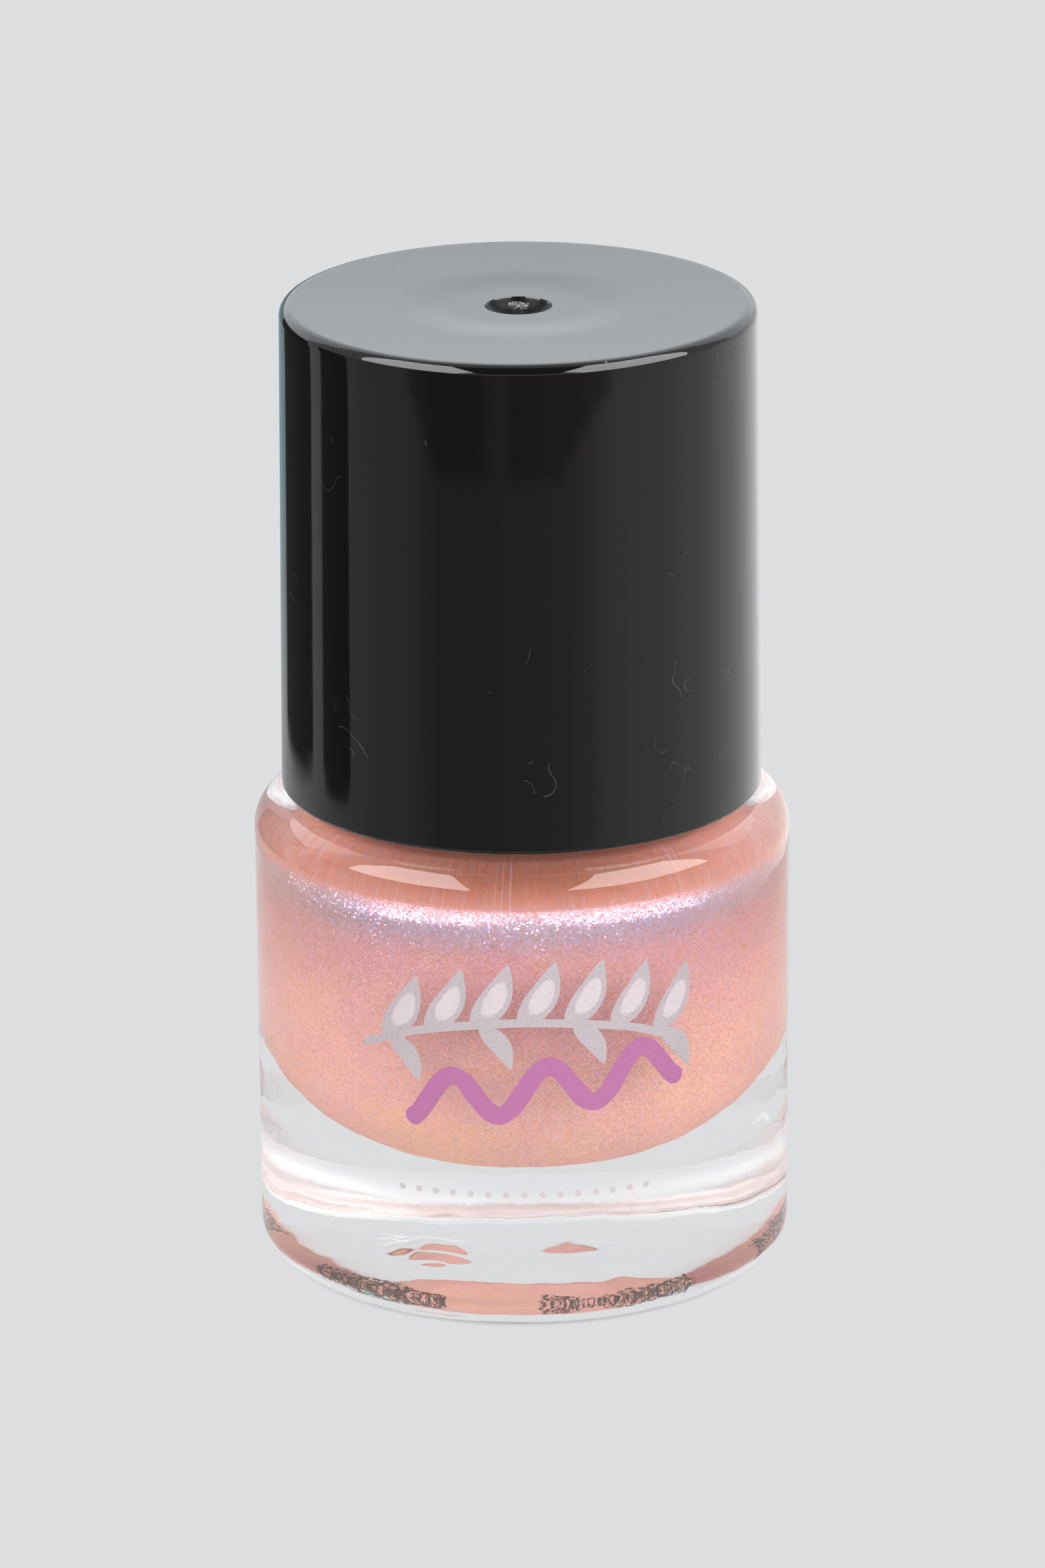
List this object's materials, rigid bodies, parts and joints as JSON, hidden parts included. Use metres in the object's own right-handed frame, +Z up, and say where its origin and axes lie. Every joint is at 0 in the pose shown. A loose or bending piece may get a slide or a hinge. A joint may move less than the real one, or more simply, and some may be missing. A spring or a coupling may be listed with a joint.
{
  "type": "nail polish bottle",
  "caption": "Round clear glass bottle with a thick base, filled with pearl polish and closed by a tall black screw cap that carries a brush on a stem.",
  "frame": {"origin": "centre of the bottle's base, on the surface that it stands on", "axes": "+Z up along the bottle's axis, -Y towards the viewer of the bottle's front, +X to the front's right"},
  "size_m": [0.027, 0.027, 0.0496],
  "materials": {
    "clear_glass": "gloss",
    "pearl_polish": "satin",
    "ball_steel": "polished",
    "liner_foam": "matte",
    "stem_plastic": "satin",
    "staple_wire": "satin",
    "bristle_nylon": "satin",
    "inner_cap_plastic": "satin",
    "gloss_black": "gloss"
  },
  "bodies": {
    "bottle": {"glass_bottle": "clear_glass", "polish_fill": "pearl_polish"},
    "ball_1": {"mixing_ball_1": "ball_steel"},
    "ball_2": {"mixing_ball_2": "ball_steel"},
    "liner": {"sealing_liner": "liner_foam"},
    "brush": {"brush_stem": "stem_plastic", "anchor_staple": "staple_wire", "bristle_tuft": "bristle_nylon"},
    "cap": {"inner_cap": "inner_cap_plastic", "outer_cap": "gloss_black"}
  },
  "joints": [
    {"name": "lift_off", "type": "slide", "parent": "bottle", "child": "liner", "axis": [0, 0, 1], "range_m": [0, 0.05]},
    {"name": "thread_rise", "type": "slide", "parent": "liner", "child": "brush", "axis": [0, 0, 1], "range_m": [0, 0.00424]},
    {"name": "cap_turn", "type": "hinge", "parent": "brush", "child": "cap", "pos_m": [0, 0, 0.03], "axis": [0, 0, 1], "range_deg": [0, 720]},
    {"name": "ball_roll_1", "type": "hinge", "parent": "bottle", "child": "ball_1", "pos_m": [0, 0, 0.0085], "axis": [0, 0, 1], "range_deg": [-50, 50]},
    {"name": "ball_roll_2", "type": "hinge", "parent": "bottle", "child": "ball_2", "pos_m": [0, 0, 0.0085], "axis": [0, 0, 1], "range_deg": [-50, 50]}
  ],
  "couplings": [
    {"joint": "thread_rise", "follows": "cap_turn", "m_per_rad": 0.00033687}
  ]
}
